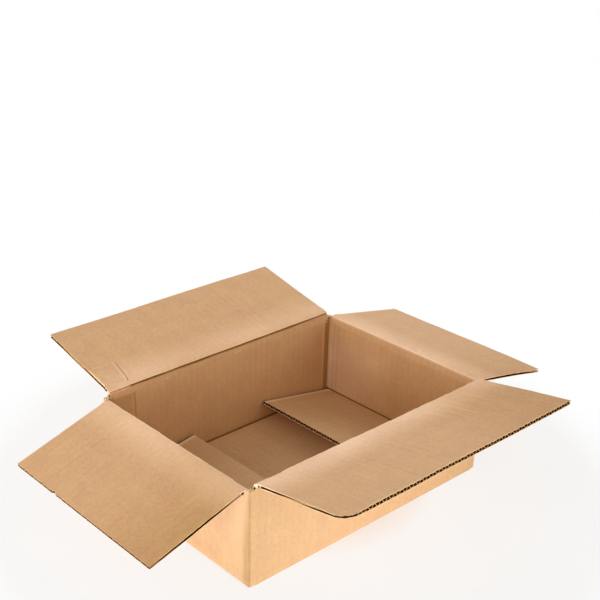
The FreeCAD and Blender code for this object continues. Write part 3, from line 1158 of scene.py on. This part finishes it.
def make_sleeve():
    """The four walls: one band of board with pressed folds at its corners."""
    obj = make_band()
    edit(obj)
    pick("EDGE", lambda edge: along(edge, 2) and abs(edge.verts[0].co.x) > INNER_X + 1 * MM)
    bpy.ops.mesh.bevel(offset=CORNER_RADIUS, segments=6)
    cut_walls()
    # the short walls and the posts end just above the closed flaps' outside
    push(lambda spot: spot.z < TOUCH and (on_post(spot) or on_short(spot)),
         0, 0, FOOT_SETBACK)
    push(lambda spot: at_top(spot) and on_post(spot), 0, 0, -SLOT_SETBACK)
    lean_to_creases()
    groove_corners()
    done()
    remember_sheet(obj, unrolled, wall_tone)
    finish_shell(obj, 30)
    # the inside faces take the darker copy of the testliner: painted shade
    give_papers(obj, "outside", "shaded", "edge")
    for face in obj.data.polygons:
        centre = face.center
        if abs(face.normal.z) > 0.3:
            face.material_index = 2
        elif abs(centre.x) < INNER_X + INNER_SKIN and abs(centre.y) < INNER_Y + INNER_SKIN:
            face.material_index = 1
        else:
            face.material_index = 0
    place(obj, "carton", Matrix.Identity(4))
    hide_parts("box_body")


def make_glue_tab():
    """The tab that joins the sheet's ends, glued inside the back wall at its left end.

    At the top it thins out into the wall, where the crease has crushed both.
    """
    left = -INNER_X
    right = TAB_WIDTH - HALF_LENGTH
    wall = INNER_Y
    low, high = CREASE_DROP, HEIGHT - TAB_TOP
    slope = high - TAB_TAPER
    front = wall - TAB_BOARD
    buried = wall + SLACK
    outline = [(buried, low), (front, low), (front, slope), (wall + SLACK / 2, high),
               (buried, high)]
    obj = prism("glue_tab", outline, left, right)
    edit(obj)
    pick("EDGE", lambda edge: abs(edge.verts[1].co.x - edge.verts[0].co.x) < TOUCH
         and edge.verts[0].co.x > right - TOUCH
         and max(vertex.co.y for vertex in edge.verts) < wall - 0.2 * MM
         and min(vertex.co.z for vertex in edge.verts) < high - TOUCH
         and abs(edge.verts[1].co.z - edge.verts[0].co.z) > 1 * MM)
    bpy.ops.mesh.bevel(offset=TAB_EDGE_RADIUS, segments=3)
    split((right - 2 * TAB_EDGE_RADIUS, 0, 0), (1, 0, 0))
    done()

    def light_and_wear(point):
        """A painted highlight along its edge, and painted shade where the tab thins out under the
        crease.
        """
        edge = TAB_EDGE_HIGHLIGHT if point.x > right - 1.2 * TAB_EDGE_RADIUS else 0.0
        thin = THIN_TAB_TONE if point.z > slope + 1 * MM else 0.0
        return edge + TAB_TONE + thin

    remember_sheet(obj, light_and_wear=light_and_wear)
    finish_shell(obj)
    paint(obj, "shaded", -1)
    place(obj, "carton", Matrix.Identity(4))


# ---------------------------------------------------------------- creases

CREASE_POINTS = (6.2, 5.0, 4.3, 2.6, 1.2, -0.2)  # mm from the hinge, down the wall
CREASE_PROUD, CREASE_SUNK = 0.03 * MM, 5.5 * MM
# Painted light and shade on a crease: its own tone, a painted highlight along each shoulder and
# on a shallow crease's crest, and painted shade in the back flap's groove and beside it, less
# near one end.
CREASE_TONE, RIM_TONE, CREST_HIGHLIGHT = 0.04, 0.2, 0.3
GROOVE_END, GROOVE_SHADE = -0.15, 0.35


def crease_outline(opening, groove_radius, band):
    """The crushed board over a crease, in the frame of the upright panel: (inward, up) points.

    Gives the points over the wall, those under it, the groove in the middle and a function
    that reflects a point over the wall to the flap's side.
    """
    depth, height = ridge(opening)
    middle = opening / 2

    def over_wall(distance, under=0.0):
        """Just proud of the wall's own liner, and sunk into it at the crease's lower edge."""
        proud = CREASE_PROUD if distance < CREASE_SUNK else -CREASE_PROUD
        return Vector((lean(depth, height, distance, band) + proud - under, -distance))

    def over_flap(point):
        tangent = Vector((-math.sin(middle), math.cos(middle)))
        return point - 2 * point.dot(tangent) * tangent

    top = [over_wall(distance * MM) for distance in CREASE_POINTS]
    top += [over_wall(height + 0.7 * MM), Vector((depth, -height))]
    under = [Vector((0.45, -0.8)) * MM, over_wall(CREASE_POINTS[0] * MM, 0.6 * MM)]
    groove = Vector((math.cos(middle), math.sin(middle))) * groove_radius
    return top, under, groove, over_flap


def roughen_crease(obj, frame_matrix):
    """Makes a crease slightly uneven along its length, as crushed board is."""
    inverse = frame_matrix.inverted()
    for vertex in obj.data.vertices:
        local = inverse @ vertex.co
        across = Vector((0, local.y, local.z))
        if across.length > 2 * MM:
            x, y, _ = vertex.co
            wobble = 1.2 * noise.noise(Vector((x, y, 0)) * 60)
            wobble += 0.7 * noise.noise(Vector((x, y, 1)) * 200)
            wobble *= smooth_step(1.2 + local.z / (CREASE_POINTS[0] * MM))
            local += across.normalized() * wobble * CREASE_WOBBLE
            vertex.co = frame_matrix @ local


def make_flute_mark(name, end, half, over_flap):
    """A squashed flute that opens in the cut end of a crease, on its wall or its flap, drawn as a
    thin dark patch of painted shade.
    """
    outline = [Vector(corner) * MM for corner in (WALL_MARK if half > 0 else FLAP_MARK)]
    if half < 0:
        outline = [over_flap(corner) for corner in outline]
    out = math.copysign(MARK_DEEP, end)
    obj = prism(name, outline, end - 4 * out, end + out)
    remember_sheet(obj)
    finish_shell(obj)
    give_papers(obj, "fluting")
    return obj


def crease_tone(body, opening, rims, groove, half_turn):
    """A painted highlight along each shoulder, and between them painted shade in a deep groove or
    a painted highlight on a shallow crest.
    """
    flap_tone = flap_light_and_wear(body)
    shaded_crease = body in GROOVE_RADIUS
    middle = opening / 2

    def light_and_wear(point):
        spot = Vector((point.y, point.z))
        under_tab = point.x > HALF_LENGTH - TAB_WIDTH
        if (spot - groove).length < SLACK:
            if not shaded_crease:
                return CREST_HIGHLIGHT
            end_fade = smooth_step((point.x + HALF_LENGTH) / END_FADE)
            return CREST_HIGHLIGHT / 2 if under_tab else GROOVE_END - GROOVE_SHADE * end_fade
        patchy = 1 + 0.6 * uneven(point.x * 40, 0, len(body))
        if shaded_crease and not under_tab and (spot - rims[0]).length < RIM_WIDTH:
            return -GROOVE_SHADE * patchy * smooth_step(2 + 2 * point.x / HALF_LENGTH)
        base = CREASE_TONE
        if half_turn:
            base += lighter_beside_corner(HALF_WIDTH - abs(point.x))
        if point.z * math.cos(middle) > point.y * math.sin(middle):
            up = point.z * math.cos(opening) - point.y * math.sin(opening)
            base = flap_tone(Vector((point.x, 0, up)))
        near = min((spot - rim).length for rim in rims)
        return base + RIM_TONE * patchy * smooth_step(1 - near / RIM_WIDTH)

    return light_and_wear


def make_crease(body, x_span):
    """The inside liner where it turns over a crease, and the fold line on the outside.

    One that turns further than half round is cut along its middle, and each half rides on its
    own side of the crease. Any other is one piece.
    """
    joint = JOINTS[body]
    opening = open_angle(body)
    middle = opening / 2
    upright = crease_frame(body, 0)
    groove_radius = GROOVE_RADIUS.get(body, SHALLOW_GROOVE)
    top, under, groove, over_flap = crease_outline(opening, groove_radius, crushed_band(body))
    wall_half = top + [groove]
    half_turn = joint["range_deg"][0] < -180
    if half_turn:
        heart = Vector((math.cos(middle), math.sin(middle))) * HEART
        half = wall_half + [heart] + under
        sides = ((half, "carton", 1), ([over_flap(point) for point in half], body, -1))
    else:
        flap_half = [over_flap(point) for point in reversed(top)]
        flap_under = [over_flap(point) for point in reversed(under)]
        sides = ((wall_half + flap_half + flap_under + under, None, 0),)
    light_and_wear = crease_tone(body, opening, (top[-1], over_flap(top[-1])), groove, half_turn)
    for outline, rider, side in sides:
        name = f"{body}_crease_{rider}" if rider else f"{body}_crease"
        obj = prism(name, outline, *x_span, CREASE_CUTS)
        remember_sheet(obj, light_and_wear=light_and_wear)
        finish_shell(obj, 50)
        give_papers(obj, "shaded", "inside", "outside")
        for face in obj.data.polygons:
            on_flap = face.center.z * math.cos(middle) > face.center.y * math.sin(middle)
            face.material_index = 2 if abs(face.normal.x) > 0.8 else int(on_flap)
        marks = []
        for end in x_span:
            for half in (1, -1):
                if side in (0, half):
                    marks.append(make_flute_mark(f"{body}_mark", end, half, over_flap))
        join(name, [obj, *marks])
        obj.data.transform(upright)
        roughen_crease(obj, upright)
        if rider is None:
            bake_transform(obj)
        else:
            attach(obj, rider)
            mitre = Vector((0, math.sqrt(0.5), side * math.sqrt(0.5)))
            if side < 0:
                mitre = Matrix.Rotation(opening, 3, "X") @ mitre
            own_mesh(obj)
    make_fold_line(body, x_span, upright)


def make_fold_line(body, x_span, upright):
    """The outside liner drawn tight round the hinge line."""
    outline = []
    for step in range(FOLD_LINE_SIDES):
        turn = 2 * math.pi * step / FOLD_LINE_SIDES
        outline.append((FOLD_LINE_RADIUS * math.cos(turn), FOLD_LINE_RADIUS * math.sin(turn)))
    obj = prism(f"{body}_fold_line", outline, *x_span)
    remember_sheet(obj)
    finish_shell(obj, 50)
    give_papers(obj, "outside")
    place(obj, "carton", upright)


# ---------------------------------------------------------------- the set


def add_lamp(name, spot, size, power):
    """A soft round lamp, turned to the carton."""
    data = bpy.data.lights.new(name, "AREA")
    data.shape = "DISK"
    data.size = size
    data.energy = power
    lamp = bpy.data.objects.new(name, data)
    lamp.location = spot
    aim = Vector(LAMP_TARGET) - Vector(spot)
    lamp.rotation_euler = aim.to_track_quat("-Z", "Y").to_euler()
    bpy.context.scene.collection.objects.link(lamp)


def seen_directly(tree):
    """1 for what the camera sees, straight or in a reflection, and 0 for the light itself."""
    path = add_node(tree, "ShaderNodeLightPath")
    seen = path.outputs["Is Camera Ray"]
    for ray in ("Is Glossy Ray", "Is Transmission Ray"):
        seen = add_node(
            tree, "ShaderNodeMath", {0: seen, 1: path.outputs[ray]}, operation="MAXIMUM"
        )
    return seen


def make_floor():
    """A pale paper sweep that keeps the carton's soft shadow.

    It whitens a little near the carton and fully further out. Under the carton it stays
    plain, so that the seam of the closed bottom looks dark from above.
    """
    bpy.ops.mesh.primitive_circle_add(vertices=96, radius=FLOOR_RADIUS, fill_type="NGON")
    floor = bpy.context.object
    floor.name = "floor"
    floor.location.z = -FLOOR_DROP
    bpy.ops.object.transform_apply(location=True)
    material, tree = blank_material("pale_paper_sweep")
    spot = add_node(tree, "ShaderNodeTexCoord").outputs["Object"]
    away = add_node(tree, "ShaderNodeVectorMath", {0: spot}, operation="LENGTH").outputs["Value"]
    far, near = (
        add_node(
            tree,
            "ShaderNodeMapRange",
            {"Value": away, "From Min": start, "From Max": end, "To Max": share},
            interpolation_type=blend,
        )
        for (start, end), share, blend in (
            (FAR_WHITE, 1.0, "SMOOTHSTEP"),
            (NEAR_WHITE, NEAR_WHITE_SHARE, "LINEAR"),
        )
    )
    white_share = add_node(tree, "ShaderNodeMath", {0: far, 1: near}, operation="MAXIMUM")
    folded = add_node(tree, "ShaderNodeVectorMath", {0: spot}, operation="ABSOLUTE")
    footprint = (HALF_LENGTH - BOARD / 2, HALF_WIDTH - BOARD / 2, 0)
    past = add_node(
        tree, "ShaderNodeVectorMath", {0: folded, 1: footprint}, operation="SUBTRACT"
    )
    x, y, _ = add_node(tree, "ShaderNodeSeparateXYZ", {0: past}).outputs
    furthest = add_node(tree, "ShaderNodeMath", {0: x, 1: y}, operation="MAXIMUM")
    outside = add_node(tree, "ShaderNodeMath", {0: furthest, 1: 0.0}, operation="GREATER_THAN")
    for mask in (outside, seen_directly(tree)):
        white_share = add_node(
            tree, "ShaderNodeMath", {0: white_share, 1: mask}, operation="MULTIPLY"
        )
    paper = add_node(
        tree, "ShaderNodeBsdfDiffuse", {"Color": linear("#F4F3F1"), "Roughness": 0.5}
    )
    white = add_node(tree, "ShaderNodeEmission", {"Color": WHITE})
    mixed = add_node(tree, "ShaderNodeMixShader", {0: white_share, 1: paper, 2: white})
    add_node(tree, "ShaderNodeOutputMaterial", {"Surface": mixed})
    floor.data.materials.append(material)


def make_world():
    """A white studio: plain light from all round, and more from a ring above the horizon."""
    world = bpy.data.worlds.new("studio")
    bpy.context.scene.world = world
    world.use_nodes = True
    tree = world.node_tree
    tree.nodes.clear()
    direction = add_node(tree, "ShaderNodeTexCoord").outputs["Generated"]
    height = add_node(tree, "ShaderNodeSeparateXYZ", {0: direction}).outputs["Z"]
    rise, fade = (
        add_node(
            tree,
            "ShaderNodeMapRange",
            {"Value": height, "From Min": low, "From Max": high, "To Min": start, "To Max": end},
            interpolation_type="SMOOTHSTEP",
        )
        for (low, high), start, end in ((RING_RISE, 0.0, RING_FILL), (RING_FADE, 1.0, 0.0))
    )
    ring = add_node(tree, "ShaderNodeMath", {0: rise, 1: fade}, operation="MULTIPLY")
    level = add_node(tree, "ShaderNodeMath", {0: ring, 1: WORLD_FILL})
    fill = add_node(tree, "ShaderNodeBackground", {"Color": WHITE, "Strength": level})
    shown = add_node(tree, "ShaderNodeBackground", {"Color": WHITE, "Strength": 1.0})
    mixed = add_node(tree, "ShaderNodeMixShader", {0: seen_directly(tree), 1: fill, 2: shown})
    add_node(tree, "ShaderNodeOutputWorld", {"Surface": mixed})


def make_camera():
    """A three-quarter view from the front left, a little over a metre away."""
    data = bpy.data.cameras.new("camera")
    data.sensor_width = 36
    data.lens = CAMERA_LENS
    data.shift_x, data.shift_y = CAMERA_SHIFT
    camera = bpy.data.objects.new("camera", data)
    azimuth, elevation, roll = (math.radians(angle) for angle in CAMERA_ANGLES)
    back = Vector(
        (
            math.sin(azimuth) * math.cos(elevation),
            -math.cos(azimuth) * math.cos(elevation),
            math.sin(elevation),
        )
    )
    turn = (-back).to_track_quat("-Z", "Y").to_matrix() @ Matrix.Rotation(roll, 3, "Z")
    camera.matrix_world = Matrix.Translation(
        Vector(CAMERA_TARGET) + back * CAMERA_DISTANCE
    ) @ turn.to_4x4()
    bpy.context.scene.collection.objects.link(camera)
    bpy.context.scene.camera = camera


long_span = (-LONG_END, LONG_END)
right_span = (-SHORT_END, SHORT_END)
left_span = (-TAB_SIDE_END, SHORT_END)
make_sleeve()
make_glue_tab()
make_floor_flap(-1, "front_floor_flap")
make_floor_flap(1, "back_floor_flap")
make_flap("front_flap", "front_long_flap", long_span)
make_flap("back_flap", "back_long_flap", long_span, tab_end=True)
make_flap("left_flap", "left_short_flap", left_span)
make_flap("right_flap", "right_short_flap", right_span)
make_bottom_flap("left_inner_flap", "left_bottom_flap", left_span, -1)
make_bottom_flap("right_inner_flap", "right_bottom_flap", right_span, 1)
make_crease("front_flap", long_span)
make_crease("back_flap", long_span)
make_crease("left_flap", left_span)
make_crease("right_flap", right_span)

make_floor()
make_world()
for lamp_settings in LAMPS:
    add_lamp(*lamp_settings)
make_camera()
bpy.context.scene.view_settings.view_transform = "Standard"
